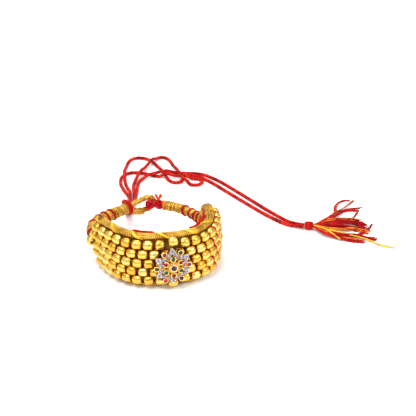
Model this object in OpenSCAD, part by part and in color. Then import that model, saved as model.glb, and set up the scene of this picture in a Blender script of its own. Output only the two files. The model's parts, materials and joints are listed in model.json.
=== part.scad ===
// Pochi bracelet: a cuff of gold beads on a cloth lining, tied at the back by a loop and a button knot.
// Millimetres, +Z up; the cuff stands on its lower rim and the medallion faces -Y.

/* [Cuff] */
// Height of the cuff over both rims
cuff_height = 27.85; // [26:0.05:30]
// Length of the beaded panel's straight edge to each side of the medallion
panel_straight = 40; // [39:0.5:40.5]
// Length of the rounded end past the straight edge
panel_end = 8.5; // [8:0.5:10]
// Thickness of the cloth lining
lining_wall = 1.3; // [1:0.1:1.5]

/* [Rim] */
// Thickness of the rim from the wrist side outward
rim_depth = 4.4; // [3.6:0.1:4.6]
// Height of the rim seen from the front
rim_height = 2.7; // [2.2:0.1:2.9]

/* [Beads] */
// Diameter of a gold bead
bead_d = 4.6; // [4.2:0.1:4.6]
// Length of a bead along its thread
bead_length = 4.7; // [4:0.1:4.8]
// Diameter of the hole through a bead
bead_bore = 1.1; // [1:0.1:1.4]
// Distance between beads along the thread
bead_pitch = 5.48; // [5.3:0.02:5.5]
// Extra room on each side of the middle of a row, under the medallion
middle_room = 0.6; // [0.4:0.1:0.8]
// Distance between bead rows
row_step = 4.65; // [4.6:0.05:4.75]
// Diameter of the thread through a row
thread_d = 0.7; // [0.5:0.1:0.8]

/* [Bands and closure] */
// Diameter of the left band at its root and at its collar
left_band_d = 6.2; // [5.6:0.1:6.4]
left_collar_d = 5.6; // [5:0.1:6]
// Diameter of the right band
right_band_d = 4.8; // [4.4:0.1:5.2]
// Diameter of the eyelet's cord
loop_d = 2.8; // [2.4:0.1:2.9]
// Width of a red winding round a band
stripe_width = 1.4; // [1:0.1:1.6]

/* [Medallion] */
// Distance from the centre to the outer round stones
outer_radius = 8; // [7.6:0.1:8.2]
// Distance from the centre to the round part of a drop stone
drop_radius = 4.35; // [4.3:0.05:4.5]
// Distance from the centre to the tip of a petal
petal_tip = 9.35; // [9.2:0.05:9.5]
// Diameter of an outer round stone
round_stone_d = 1.9; // [1.7:0.1:2]
// Diameter of the centre stone
centre_stone_d = 2.7; // [2.5:0.1:2.8]
// Diameter of a small white stone
pave_d = 1.2; // [0.9:0.05:1.3]

/* [Tie cords and tassel] */
// Diameter of a tie cord
cord_d = 1.8; // [1.4:0.1:1.8]
// Diameter of the tassel's bound head
tassel_head_d = 4.5; // [4:0.1:4.6]
// Length of the tassel's bound head
tassel_head_length = 4.4; // [4:0.1:5]

/* [Hidden] */
$fn = 48;
ROWS = 5;

gold = "goldenrod";
zari = "darkkhaki";
deep_red = "darkred";
cord_red = "firebrick";

// Gap that keeps two pieces apart where they meet
clearance = 0.15;

// Rim line seen from above: turn from the medallion and radius, every 30 degrees
RADIUS = 1;
ring_table = [
    [0, 29.0], [30, 30.5], [60, 27.8], [90, 25.8], [120, 26.8], [150, 29.2],
    [180, 30.0], [210, 29.4], [240, 31.4], [270, 30.0], [300, 27.8], [330, 29.4]
];
ring_step = 30;
// Move that puts the middle of the cuff's box on the Z axis
ring_shift = [0.74, 3.0];
// The same move for the cords and the tassel that lie on the surface
lay_shift = [-1.26, 0, 0];

mid_height = cuff_height / 2 + 0.075;
rim_mid = cuff_height / 2;
rim_rise = rim_mid - rim_height / 2;

// Bead rows from the top: distance out from the rim line, number of places, lift and push of the middle bead
ROW_OUT = 0;
ROW_PLACES = 1;
ROW_LIFT = 2;
ROW_PUSH = 3;
row_table = [
    [3.2, 17, 1.9, 1.5],
    [3.8, 18, 0, 0],
    [4.1, 19, 0, 0],
    [3.8, 18, 0, 0],
    [3.3, 17, -1.5, 0.9]
];
// Row whose middle place holds the medallion's post
POST_ROW = 2;
// Half-length of the stretch of thread that a pushed bead lifts
lift_reach = 3.2;

// Sweeps
thread_sides = 6;
cord_sides = 8;
rim_sides = 8;
band_sides = 12;

// Radius of the rim line by a periodic spline through the table
function ring_radius(turn) =
    let (
        count = len(ring_table),
        place = ((turn % 360) + 360) % 360 / ring_step,
        i = floor(place),
        u = place - i,
        r = [for (k = [-1:2]) ring_table[(i + k + count) % count][RADIUS]]
    )
    0.5 * (2 * r[1] + (r[2] - r[0]) * u + (2 * r[0] - 5 * r[1] + 4 * r[2] - r[3]) * u * u
        + (3 * r[1] - r[0] - 3 * r[2] + r[3]) * u * u * u);

function rim_point(turn) = ring_shift + ring_radius(turn) * [sin(turn), -cos(turn)];

// The panel's left end is drawn in towards the wrist, more so at the foot.
// Turns where that starts, is full, fades and ends
lean_turns = [-50, -86, -92, -110];
lean_depth = 2.7;
lean_growth = 0.1;
function eased(u) = let (v = min(max(u, 0), 1)) v * v * (3 - 2 * v);
function lean(turn, z) =
    (lean_depth + lean_growth * (mid_height - z))
        * eased((turn - lean_turns[0]) / (lean_turns[1] - lean_turns[0]))
        * (1 - eased((turn - lean_turns[2]) / (lean_turns[3] - lean_turns[2])));

// Unit vector along the ring, and the one that points out of it
function along(turn) = let (d = rim_point(turn + 1) - rim_point(turn - 1)) d / norm(d);
function outward(turn) = let (t = along(turn)) [t[1], -t[0]];
function ring_point(turn, out, z) = rim_point(turn) + (out - lean(turn, z)) * outward(turn);

// Pairs of distance along a line round the ring, from the medallion, and turn
measure_step = 2;
measure_turns = [-180:measure_step:180];
function measured(points) =
    let (
        gaps = [for (i = [1:len(points) - 1]) norm(points[i] - points[i - 1])],
        sums = [for (i = 0, s = 0; i <= len(gaps); s = s + (i < len(gaps) ? gaps[i] : 0), i = i + 1) s],
        half = sums[(len(sums) - 1) / 2]
    )
    [for (i = [0:len(sums) - 1]) [sums[i] - half, i * measure_step - 180]];

rim_measure = measured([for (t = measure_turns) rim_point(t)]);
ring_length = rim_measure[len(rim_measure) - 1][0] - rim_measure[0][0];
row_measures = [
    for (row = [0:ROWS - 1])
        measured([for (t = measure_turns) ring_point(t, row_table[row][ROW_OUT], row_height(row))])
];

// A point given by distance along the rim line, distance out of it and height
function wrapped(s) =
    s > rim_measure[len(rim_measure) - 1][0] ? s - ring_length : s < rim_measure[0][0] ? s + ring_length : s;
function turn_at(s) = lookup(wrapped(s), rim_measure);
function place_at(s, out, z) = let (p = ring_point(turn_at(s), out, z)) [p[0], p[1], z];
function out_at(s) = let (n = outward(turn_at(s))) [n[0], n[1], 0];
function along_at(s) = let (t = along(turn_at(s))) [t[0], t[1], 0];

function unit(v) = v / norm(v);

// Bead rows
function row_height(row) = mid_height + (2 - row) * row_step;
function bump(s) = exp(-pow(s / lift_reach, 2));
function place_number(row, k) = k - (row_table[row][ROW_PLACES] - 1) / 2;
function bead_s(m) = m * bead_pitch + sign(m) * middle_room;
function row_turn(row, s) = lookup(s, row_measures[row]);
function row_point(row, s) =
    let (
        out = row_table[row][ROW_OUT] + row_table[row][ROW_PUSH] * bump(s),
        p = ring_point(row_turn(row, s), out, row_height(row))
    )
    [p[0], p[1], row_height(row) + row_table[row][ROW_LIFT] * bump(s)];

// One closed solid through rings of points, each ring with the same even number of points
module sweep(rings, closed = false) {
    count = len(rings);
    sides = len(rings[0]);
    last = closed ? count - 1 : count - 2;
    walls = [
        for (i = [0:last], j = [0:sides - 1])
            let (
                a = i * sides + j,
                b = i * sides + (j + 1) % sides,
                c = ((i + 1) % count) * sides + (j + 1) % sides,
                d = ((i + 1) % count) * sides + j
            )
            each [[a, b, c], [a, c, d]]
    ];
    far = (count - 1) * sides;
    caps = closed ? [] : [
        for (j = [0:sides / 2 - 2])
            let (k = sides - 1 - j, p = far + j, q = far + k)
            each [[j, k, k - 1], [j, k - 1, j + 1], [p, q - 1, q], [p, p + 1, q - 1]]
    ];
    polyhedron([for (ring = rings) each ring], concat(walls, caps), convexity = 10);
}

// An oval ring of points round a centre, between two side vectors
function oval(centre, side, up, a, b, sides) =
    [for (j = [0:sides - 1]) let (t = -360 * j / sides) centre + a * cos(t) * side + b * sin(t) * up];

// Rings of a round tube along a route
function route_direction(route, i) =
    unit(unit(route[min(i + 1, len(route) - 1)] - route[max(i - 1, 0)] + [0, 0, 1e-6]));
function tube_rings(route, d, sides) = [
    for (i = [0:len(route) - 1])
        let (
            t = route_direction(route, i),
            side = unit(cross(t, [0, 0, 1])),
            up = cross(side, t)
        )
        oval(route[i], side, up, d / 2, d / 2, sides)
];

// Beads
module bead() {
    difference() {
        intersection() {
            sphere(d = bead_d * 1.12);
            cylinder(d = bead_d, h = bead_length, center = true);
        }
        cylinder(d = bead_bore, h = bead_length + 1, center = true);
    }
}

module bead_row(row) {
    color(gold)
        for (k = [0:row_table[row][ROW_PLACES] - 1]) {
            m = place_number(row, k);
            if (row != POST_ROW || m != 0) {
                s = bead_s(m);
                t = along(row_turn(row, s));
                translate(row_point(row, s))
                    rotate([0, 90, atan2(t[1], t[0])])
                        bead();
            }
        }
}

// Thread through a row: straight inside each bead, with a short tail past the two end beads
thread_tail = 0.8;
module row_thread(row) {
    places = row_table[row][ROW_PLACES];
    route = [
        for (k = [0:places - 1])
            let (
                s = bead_s(place_number(row, k)),
                t = along(row_turn(row, s)),
                go = [t[0], t[1], 0],
                before = bead_length / 2 + (k == 0 ? thread_tail : 0),
                after = bead_length / 2 + (k == places - 1 ? thread_tail : 0)
            )
            each [row_point(row, s) - before * go, row_point(row, s) + after * go]
    ];
    color(deep_red)
        sweep(tube_rings(route, thread_d, thread_sides));
}

// Outline of the beaded panel: distance along the rim line, height, and its direction of travel
rim_top_rings = 25;
rim_end_rings = 9;
function end_s(t) = panel_straight + panel_end * cos(t);
function end_turn(i) = 90 - 180 * i / (rim_end_rings + 1);
rim_outline = concat(
    [for (i = [0:rim_top_rings]) [panel_straight * (2 * i / rim_top_rings - 1), rim_mid + rim_rise]],
    [for (i = [1:rim_end_rings]) [end_s(end_turn(i)), rim_mid + rim_rise * sin(end_turn(i))]],
    [for (i = [0:rim_top_rings]) [panel_straight * (1 - 2 * i / rim_top_rings), rim_mid - rim_rise]],
    [for (i = [1:rim_end_rings]) [-end_s(end_turn(i)), rim_mid - rim_rise * sin(end_turn(i))]]
);

module rim() {
    count = len(rim_outline);
    rings = [
        for (i = [0:count - 1])
            let (
                here = rim_outline[i],
                go = unit(rim_outline[(i + 1) % count] - rim_outline[(i + count - 1) % count]),
                out = out_at(here[0]),
                across = go[0] * [0, 0, 1] - go[1] * along_at(here[0])
            )
            oval(place_at(here[0], 0, here[1]), out, across, rim_depth / 2, rim_height / 2, rim_sides)
    ];
    color(zari)
        sweep(rings, closed = true);
}

// Lining: a cloth wall that swells out behind the middle rows
lining_columns = 36;
lining_rows = 6;
lining_gap = 0.3;
bead_room = 0.5;
function lining_half_height(s) =
    let (past = max(abs(s) - panel_straight, 0) / (panel_end - rim_height / 2 - lining_gap))
    (rim_rise - rim_height / 2 - lining_gap) * sqrt(max(1 - past * past, 0.01));
function lining_face(z) =
    let (f = (z - mid_height) / (2 * row_step), outer = (row_table[0][ROW_OUT] + row_table[4][ROW_OUT]) / 2)
    row_table[2][ROW_OUT] - (row_table[2][ROW_OUT] - outer) * min(f * f, 1) - bead_d / 2 - bead_room;

module lining() {
    reach = panel_straight + panel_end - rim_height / 2 - lining_gap - 0.1;
    rings = [
        for (i = [0:lining_columns])
            let (
                s = reach * (2 * i / lining_columns - 1),
                h = lining_half_height(s),
                heights = [for (j = [0:lining_rows]) rim_mid + h * (1 - 2 * j / lining_rows)]
            )
            concat(
                [for (z = heights) place_at(s, lining_face(z), z)],
                [for (j = [lining_rows:-1:0]) place_at(s, lining_face(heights[j]) - lining_wall, heights[j])]
            )
    ];
    color(cord_red)
        sweep(rings);
}

// Bands: padded cords that carry on from the panel's tips; stops as distance, half depth and half height
DISTANCE = 0;
DEPTH = 1;
HEIGHT = 2;
band_gap = 0.2;
panel_tip = panel_straight + panel_end + rim_height / 2 + band_gap;
band_start = panel_tip + 3.6;
left_end = 86;
right_end = 76.2;
root_depth = 2.5;
root_height = 4.4;
function band_stops(end, root_d, end_d, steps) = concat(
    [[panel_tip, root_depth, root_height], [panel_tip + 1.6, root_d * 0.48, root_d * 0.66]],
    [
        for (i = [0:steps])
            let (u = i / steps, radius = root_d / 2 + (end_d - root_d) / 2 * u)
            [band_start + (end - band_start) * u, radius, radius * (i == 0 ? 1.06 : 1)]
    ]
);
left_stops = band_stops(left_end, left_band_d, left_collar_d, 8);
right_stops = band_stops(right_end, right_band_d, right_band_d, 6);

module band(side, stops) {
    rings = [
        for (stop = stops)
            let (s = side * stop[DISTANCE], middle = place_at(s, 0, mid_height))
            oval(middle, side * out_at(s), [0, 0, 1], stop[DEPTH], stop[HEIGHT], band_sides)
    ];
    color(zari)
        sweep(rings);
}

// A flat winding round a band, a little slanted: a ring with its own hollow, square in section
stripe_sides = 16;
stripe_wall = 0.45;
stripe_room = 0.2;
stripe_slant = 0.3;
function stop_size(stops, s, column) = lookup(abs(s), [for (stop = stops) [stop[DISTANCE], stop[column]]]);
module winding(s, stops) {
    half = stripe_width / 2;
    inner = stripe_room;
    outer = stripe_room + stripe_wall;
    rings = [
        for (j = [0:stripe_sides - 1])
            let (a = 360 * j / stripe_sides)
            [
                for (corner = [[inner, -half], [inner, half], [outer, half], [outer, -half]])
                    let (
                        rise = (stop_size(stops, s, HEIGHT) + corner[0]) * sin(a),
                        here = s + corner[1] + stripe_slant * rise
                    )
                    place_at(here, 0, mid_height)
                        + (stop_size(stops, here, DEPTH) + corner[0]) * cos(a) * out_at(here)
                        + (stop_size(stops, here, HEIGHT) + corner[0]) * sin(a) * [0, 0, 1]
            ]
    ];
    sweep(rings, closed = true);
}

// Places of the red windings along the rim line
left_stripes = [53, 62, 68, 72, 76];
right_stripes = [52, 55.8, 59.8, 64.6];

module stripes_left() {
    color(deep_red)
        for (s = left_stripes)
            winding(-s, left_stops);
}

module stripes_right() {
    color(deep_red)
        for (s = right_stripes)
            winding(s, right_stops);
}

// Drum that is bound round a band's end: stops as distance along, radius
module drum(from, to, radius, sides) {
    stops = [[0, 0.86], [0.22, 1], [0.78, 1], [1, 0.86]];
    rings = [
        for (stop = stops)
            let (s = from + (to - from) * stop[0], r = radius * stop[1])
            oval(place_at(s, 0, mid_height), sign(to - from) * out_at(s), [0, 0, 1], r, r, sides)
    ];
    sweep(rings);
}

collar_s = -87.2;
collar_half = 1.15;
collar_radius = 3.6;
module loop_collar() {
    color(deep_red)
        drum(collar_s + collar_half, collar_s - collar_half, collar_radius, band_sides);
}

// Eyelet: distance past the collar, distance out, height
loop_route = [
    [1.4, 0, 15.7], [2.2, 0, 15.8], [4.4, 0.5, 16.2], [7, 1.4, 16.6], [9.6, 2.2, 17.4], [12, 2.6, 17],
    [13.4, 2.7, 15], [12.4, 2.5, 12.2], [9.8, 2, 11], [6.6, 1.1, 11], [4.2, 0.4, 11.6], [2.2, 0, 12.1],
    [1.4, 0, 12.2]
];
module loop() {
    route = [for (p = loop_route) place_at(collar_s - p[0], p[1], p[2])];
    color(zari)
        sweep(tube_rings(route, loop_d, cord_sides));
}

// Binding between the right band and the knot
binding_from = 76.4;
binding_to = 77.9;
module knot_binding() {
    color("darkorange")
        drum(binding_from, binding_to, 2.6, band_sides);
}

// Button knot: two lobes of wound cord, a neck and two cut ends.
// A lobe is distance past the collar, out, size, lean of its wraps
LOBE_SIZE = 2;
LOBE_LEAN = 3;
knot_height = 14.6;
knot_lobes = [[10.9, -0.6, 2.2, 30], [15.9, -0.3, 2.2, 20]];
knot_cord = 1.5;
knot_turns = 8;
// Cut ends of the cord: a short stem that forks; distance past the collar, out, height above the knot
cut_ends = [
    [[15.8, -0.3, 1.6], [15.6, -0.2, 3.4]],
    [[15.6, -0.2, 3.4], [14.4, 0.2, 5.2]],
    [[15.6, -0.2, 3.4], [16.9, -0.1, 5.1]]
];
module knot_wrap(lobe, lean, first) {
    centre = place_at(collar_s - lobe[0], lobe[1], knot_height);
    turn = atan2(along_at(collar_s - lobe[0])[1], along_at(collar_s - lobe[0])[0]);
    for (i = [0:knot_turns - 1])
        hull()
            for (k = [i, i + 1])
                let (a = first + k * 360 / knot_turns)
                translate(centre)
                    rotate([0, lean, turn])
                        translate([0, lobe[LOBE_SIZE] * 0.6 * cos(a), lobe[LOBE_SIZE] * 0.8 * sin(a)])
                            sphere(d = knot_cord, $fn = 8);
}

module button_knot() {
    knot_axis = [[9.8, -0.6], [13.4, -0.4], [16.4, -0.3]];
    color(cord_red) {
        for (lobe = knot_lobes) {
            knot_wrap(lobe, lobe[LOBE_LEAN], 0);
            knot_wrap(lobe, lobe[LOBE_LEAN] * 0.1, 11);
            knot_wrap(lobe, -lobe[LOBE_LEAN] * 0.85, 20);
            translate(place_at(collar_s - lobe[0], lobe[1], knot_height))
                sphere(d = lobe[LOBE_SIZE] * 1.4, $fn = 12);
        }
        for (i = [0:1])
            hull()
                for (p = [knot_axis[i], knot_axis[i + 1]])
                    translate(place_at(collar_s - p[0], p[1], knot_height))
                        sphere(d = 2, $fn = 8);
        for (step = cut_ends)
            hull()
                for (p = step)
                    translate(place_at(collar_s - p[0], p[1], knot_height + p[2]))
                        sphere(d = 1.3, $fn = 8);
    }
}

// Medallion: local XY is its face and local Z points out of the cuff
medallion_back = row_table[POST_ROW][ROW_OUT] + bead_d / 2 + clearance;
medallion_offset = [-0.8, -0.45];
medallion_twist = -1.5;
module on_medallion() {
    front = place_at(0, medallion_back, mid_height);
    translate([front[0] + medallion_offset[0], front[1], front[2] + medallion_offset[1]])
        rotate([90, medallion_twist, 0])
            children();
}

petal_count = 6;
petal_inner = 2.2;
petal_width = 5.2;
dome_radius = 22;
dome_top = 2.7;
plate_thickness = 1.1;
post_d = 2;
seat_room = 0.1;
drop_d = 1.9;
bezel_wall = 0.36;
bead_border = 12;
// Distance from the round part of a drop stone to its point
drop_point = 1.55;
function dome_z(r) = dome_top - dome_radius + sqrt(dome_radius * dome_radius - r * r);
function petal_angle(i) = 30 + 60 * i;
function stone_angle(i) = 60 * i;

// Small white stones of a petal: distance out along the petal, distance to the side
pave_table = [[7.95, 0], [6.7, 1.25], [6.7, -1.25], [5.25, 1.85], [5.25, -1.85]];

module petal() {
    reach = petal_tip - petal_inner;
    arc = (reach * reach + petal_width * petal_width) / (4 * petal_width);
    middle = (petal_tip + petal_inner) / 2;
    intersection() {
        translate([middle, arc - petal_width / 2, 0])
            cylinder(r = arc, h = 4);
        translate([middle, petal_width / 2 - arc, 0])
            cylinder(r = arc, h = 4);
    }
}

// Hollows in the dome: one in each petal past its drop stone, a round one between two drop stones
petal_well = [[6.9, 0], [5.5, 1.05], [5.5, -1.05]];
well_depth = 1;
// Distance out, diameter and depth of a round hollow
round_well = [3.45, 1, 0.6];

module dome() {
    intersection() {
        union() {
            cylinder(r = drop_radius + 0.2, h = 4);
            for (i = [0:petal_count - 1]) {
                rotate(petal_angle(i))
                    petal();
                rotate(stone_angle(i))
                    translate([0, -0.6, 0])
                        cube([outer_radius, 1.2, 4]);
            }
        }
        translate([0, 0, dome_top - dome_radius])
            sphere(r = dome_radius, $fn = 180);
    }
}

// Cup with a seat for a round stone, its top a little over the dome
module bezel(r, d, rise) {
    translate([r, 0, 0])
        cylinder(d = d + 2 * bezel_wall + 2 * seat_room, h = dome_z(r) + rise);
}

module seat(r, side, d, rise, depth) {
    translate([r, side, dome_z(norm([r, side])) + rise - depth])
        cylinder(d = d + 2 * seat_room, h = depth + 2);
}

// Outline of a drop stone, grown by an amount on every side: a round with a point that looks outward
drop_shoulder = 52;
module drop_outline(extra, h) {
    r = drop_d / 2 + extra;
    side = 0.9 * r;
    cylinder(r = r, h = h);
    linear_extrude(h)
        polygon([
            [2 * drop_point / drop_d * r, 0],
            [side * cos(drop_shoulder), side * sin(drop_shoulder)],
            [side * cos(drop_shoulder), -side * sin(drop_shoulder)]
        ]);
}

round_rise = 0.5;
drop_rise = 0.35;
centre_rise = 0.7;
pave_depth = 0.42;
stone_depth = 0.75;

module medallion_setting() {
    thread_y = -medallion_offset[1];
    post_bore_z = row_table[POST_ROW][ROW_OUT] - medallion_back;
    post_length = 1.1 - post_bore_z;
    color(gold)
        on_medallion()
            difference() {
                union() {
                    difference() {
                        dome();
                        for (i = [0:petal_count - 1]) {
                            rotate(petal_angle(i))
                                translate([0, 0, dome_z(drop_radius) - well_depth])
                                    linear_extrude(4)
                                        polygon(petal_well);
                            rotate(stone_angle(i))
                                translate([round_well[0], 0, dome_z(round_well[0]) - round_well[2]])
                                    cylinder(d = round_well[1], h = 2, $fn = 24);
                        }
                    }
                    for (i = [0:petal_count - 1]) {
                        rotate(stone_angle(i))
                            bezel(outer_radius, round_stone_d, round_rise);
                        rotate(petal_angle(i))
                            translate([drop_radius, 0, 0])
                                drop_outline(bezel_wall + seat_room, dome_z(drop_radius) + drop_rise);
                    }
                    bezel(0, centre_stone_d, centre_rise);
                    for (i = [0:bead_border - 1])
                        rotate(360 * i / bead_border)
                            translate([centre_stone_d / 2 + 0.85, 0, dome_top + 0.1])
                                sphere(r = 0.4, $fn = 24);
                    translate([-medallion_offset[0], thread_y, -post_length])
                        cylinder(d = post_d, h = post_length + 0.5);
                }
                for (i = [0:petal_count - 1]) {
                    rotate(stone_angle(i))
                        seat(outer_radius, 0, round_stone_d, round_rise, stone_depth);
                    rotate(petal_angle(i)) {
                        translate([drop_radius, 0, dome_z(drop_radius) + drop_rise - stone_depth])
                            drop_outline(seat_room, stone_depth + 2);
                        for (p = pave_table)
                            seat(p[0], p[1], pave_d, 0, pave_depth);
                    }
                }
                seat(0, 0, centre_stone_d, centre_rise, stone_depth + 0.2);
                translate([-medallion_offset[0] - post_d, thread_y, post_bore_z])
                    rotate([0, 90, 0])
                        cylinder(d = bead_bore, h = 2 * post_d);
            }
}

// Cut stone from an outline of radius 1: a table, a crown and a pavilion of eight facets, girdle at z = 0
facets = 8;
round_outline = [for (j = [0:facets - 1]) let (t = -360 * j / facets) [cos(t), sin(t)]];
drop_stone_outline = concat(
    [[2 * drop_point / drop_d, 0]],
    [for (t = [-54, -90, -126, -180, -234, -270, -306]) [cos(t), sin(t)]]
);
module cut_stone(outline, d, crown, pavilion) {
    function ring(r, z) = [for (p = outline) [r * p[0], r * p[1], z]];
    sweep([ring(d * 0.2, -pavilion), ring(d / 2, 0), ring(d / 2, crown * 0.25), ring(d * 0.3, crown)]);
}

module seated_stone(r, side, d, rise, depth, crown, outline = round_outline) {
    floor_z = dome_z(norm([r, side])) + rise - depth + seat_room;
    pavilion = depth * 0.75 - seat_room;
    translate([r, side, floor_z + pavilion])
        cut_stone(outline, d, crown, pavilion);
}

module centre_stone() {
    color("mediumpurple")
        on_medallion()
            seated_stone(0, 0, centre_stone_d, centre_rise, stone_depth + 0.2, 0.6);
}

drop_colours = ["crimson", "seagreen"];
module drop_stone(i) {
    color(drop_colours[i % 2])
        on_medallion()
            rotate(petal_angle(i))
                seated_stone(drop_radius, 0, drop_d, drop_rise, stone_depth, 0.45, drop_stone_outline);
}

round_colours = [
    "mediumvioletred", "darkgreen", "mediumvioletred", "seagreen", "palevioletred", "darkslategray"
];
module round_stone(i) {
    color(round_colours[i])
        on_medallion()
            rotate(stone_angle(i))
                seated_stone(outer_radius, 0, round_stone_d, round_rise, stone_depth, 0.4);
}

module pave_stones() {
    color("white")
        on_medallion()
            for (i = [0:petal_count - 1])
                rotate(petal_angle(i))
                    for (p = pave_table)
                        seated_stone(p[0], p[1], pave_d, 0, pave_depth, 0.22);
}

// Tie cords: routes from the collar, over the surface behind the cuff, in loose crossing loops
cord_1_route = [
    [-4.05, 36.1, 13.1], [-3.3, 39.4, 12.3], [-1.8, 43.8, 8], [-0.1, 48.1, 3.4], [1.7, 52.3, 0.95],
    [5, 61, 0.95], [8, 68.5, 0.95], [10.5, 75, 0.95], [12.5, 81.5, 0.95], [15, 87.5, 0.95], [18, 90.6, 1.3],
    [21.5, 91.6, 2.6], [25, 92.2, 2.9], [32.2, 93.3, 2.9], [35.3, 93.6, 1.6], [38.2, 93, 0.95],
    [44, 90.8, 0.95], [50.5, 87.5, 0.95], [56.5, 78, 0.95], [61.5, 64.5, 0.95], [67, 48, 0.95],
    [72.5, 31.5, 0.95], [78, 18.5, 0.95], [83.15, 11.55, 1.9]
];
cord_2_route = [
    [-4.05, 36.1, 15], [-3.3, 39.9, 14.3], [-1.7, 44.8, 10.1], [0.2, 49.4, 5.5], [2.3, 53.8, 2.85],
    [5.7, 62, 2.85], [7.9, 70.5, 2.85], [11.4, 85, 0.95], [15.8, 93, 2.6], [19, 98, 2.9], [22.2, 102.7, 2],
    [28.8, 110.4, 2.95], [31.2, 113.2, 1.6], [33.7, 115.5, 0.95], [36.6, 114.9, 0.95], [38.2, 111.4, 0.95],
    [38.5, 102, 1.2], [38.1, 94, 2.9], [38.5, 89.3, 2.9], [40.3, 85.9, 2.85], [44.3, 83.5, 0.95],
    [47.5, 81.6, 0.95], [48.2, 78, 0.95], [45.2, 75.2, 0.95], [41.5, 76.2, 0.95], [39.4, 80.2, 2.3],
    [37.8, 84, 3], [35.3, 87.8, 2], [31, 90, 2.9], [27.2, 91.5, 1], [19.5, 98.2, 0.95], [13.5, 100.4, 0.95],
    [8, 97, 0.95], [5, 89.5, 0.95], [4.5, 80.5, 0.95], [5, 69, 0.95], [-0.3, 52.8, 0.95], [-2.2, 47.8, 3.4],
    [-5.3, 39.2, 12.3], [-5.95, 35.8, 13]
];
cord_3_route = [
    [-5.95, 35.8, 15], [-5.3, 39.7, 14.3], [-3.7, 44.5, 10.1], [-1.9, 49, 5.5], [-0.1, 53.4, 2.85],
    [3.2, 61.4, 2.85], [5.2, 68.5, 2.85], [6.5, 74.5, 2.3], [7, 79.5, 1.3], [7.2, 85, 0.95],
    [7.8, 90.5, 1.4], [8.8, 95.5, 2.8], [9.7, 99.5, 2.85], [11, 103.5, 1.8], [13.2, 109, 0.95],
    [15.5, 114, 0.95], [18.3, 117.5, 0.95], [22, 118.6, 0.95], [25.5, 117, 0.95], [28, 113.5, 0.95],
    [29.2, 109, 0.95], [30, 104, 0.95], [31, 98, 0.95], [31.2, 92.5, 0.95], [31, 88, 0.95],
    [31.5, 84.2, 0.95], [33.3, 81.5, 0.95], [36, 81, 0.95], [38.2, 82.9, 0.95], [39.6, 86, 0.95],
    [41.8, 88.2, 0.95], [44.8, 88, 0.95], [47.8, 85.2, 0.95], [52, 77.5, 0.95], [57, 63.5, 0.95],
    [63, 46, 0.95], [69, 29.5, 0.95], [75.5, 16.5, 0.95], [82.4, 9.6, 1.9]
];

module tie_cord(route) {
    color(cord_red)
        translate(lay_shift)
            sweep(tube_rings(route, cord_d, cord_sides));
}

// Tassel: where its head starts on the surface, and which way it points
tassel_start = [83.2, 10.3];
tassel_turn = -24;
module on_tassel() {
    translate(lay_shift + [tassel_start[0], tassel_start[1], tassel_head_d / 2])
        rotate([0, 90, tassel_turn])
            children();
}

module tassel_head() {
    neck = tassel_head_d / 2 - 0.35;
    color(cord_red)
        on_tassel() {
            cylinder(d1 = tassel_head_d - 1.4, d2 = tassel_head_d, h = 0.9);
            translate([0, 0, 0.9])
                cylinder(d = tassel_head_d, h = tassel_head_length - 1.9);
            translate([0, 0, tassel_head_length - 1])
                cylinder(r1 = tassel_head_d / 2, r2 = neck, h = 1);
        }
}

// Locks of thread: distance ahead of the head, distance to its left, height, thickness
lock_table = [
    [[1, 1, 2.2, 2], [7, 8, 2.8, 2], [10, 17, 1.6, 1.6], [14, 27, 0.8, 1.6], [18, 36, 0.5, 0.8]],
    [[1, 1, 2.4, 2.2], [9.5, 12.5, 2, 2], [15, 22, 1.1, 1.8], [23, 26.5, 0.6, 1.2]],
    [[1, 0.6, 2.4, 2.4], [8, 8, 2.4, 2.4], [18, 12, 1, 2], [24.5, 11.5, 0.5, 0.8]],
    [[1, 0.4, 2.2, 2.4], [11.5, 5.5, 2, 2.8], [20, 8, 1.3, 2], [27.5, 6.5, 0.5, 0.8]],
    [[1, 0, 2.2, 2.4], [13, -1.5, 1.8, 2.8], [21, 1.5, 1.1, 1.8], [29, -0.5, 0.5, 0.8]],
    [[1, -0.4, 2.2, 2.4], [12, -5.5, 1.7, 2.8], [22, -6, 1.1, 1.8], [31, -7.5, 0.5, 0.8]],
    [[1, -0.6, 2.4, 2.2], [7, -6, 2, 2.2], [13, -9, 1.4, 2], [21, -11, 0.8, 1.2], [28, -11, 0.5, 0.8]],
    [
        [1, -0.8, 1.6, 1.4], [12, -4.5, 1.2, 1.4], [20, -7, 1, 1.2], [28, -8.5, 0.7, 1.2],
        [35.5, -14, 0.6, 1.2], [42, -16, 0.5, 0.9]
    ]
];
module tassel() {
    start = tassel_head_length + clearance;
    color(cord_red)
        on_tassel() {
            for (lock = lock_table, i = [0:len(lock) - 2])
                hull()
                    for (p = [lock[i], lock[i + 1]])
                        translate([tassel_head_d / 2 - max(p[2], p[3] / 2), p[1], start + p[0]])
                            sphere(d = p[3], $fn = 8);
            translate([0, 0, start])
                cylinder(d = 3, h = 2, $fn = 12);
        }
}

for (i = [1:ROWS]) {
    bead_row(i - 1);
    row_thread(i - 1);
}
lining();
rim();
band(-1, left_stops);  // band_left
band(1, right_stops);  // band_right
stripes_left();
stripes_right();
loop_collar();
loop();
button_knot();
knot_binding();
medallion_setting();
centre_stone();
pave_stones();
for (i = [1:petal_count]) {
    drop_stone(i - 1);
    round_stone(i - 1);
}
tie_cord(cord_1_route);  // tie_cord_1
tie_cord(cord_2_route);  // tie_cord_2
tie_cord(cord_3_route);  // tie_cord_3
tassel_head();
tassel();
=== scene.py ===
# Pochi bracelet: rows of gold beads, gold-thread bands, a jewelled medallion, tie cords and a tassel.
import json
import random
from math import acos, atan2, ceil, cos, exp, floor, hypot, pi, radians, sin, sqrt, tau

import bmesh
import bpy
from mathutils import Matrix, Vector


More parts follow.
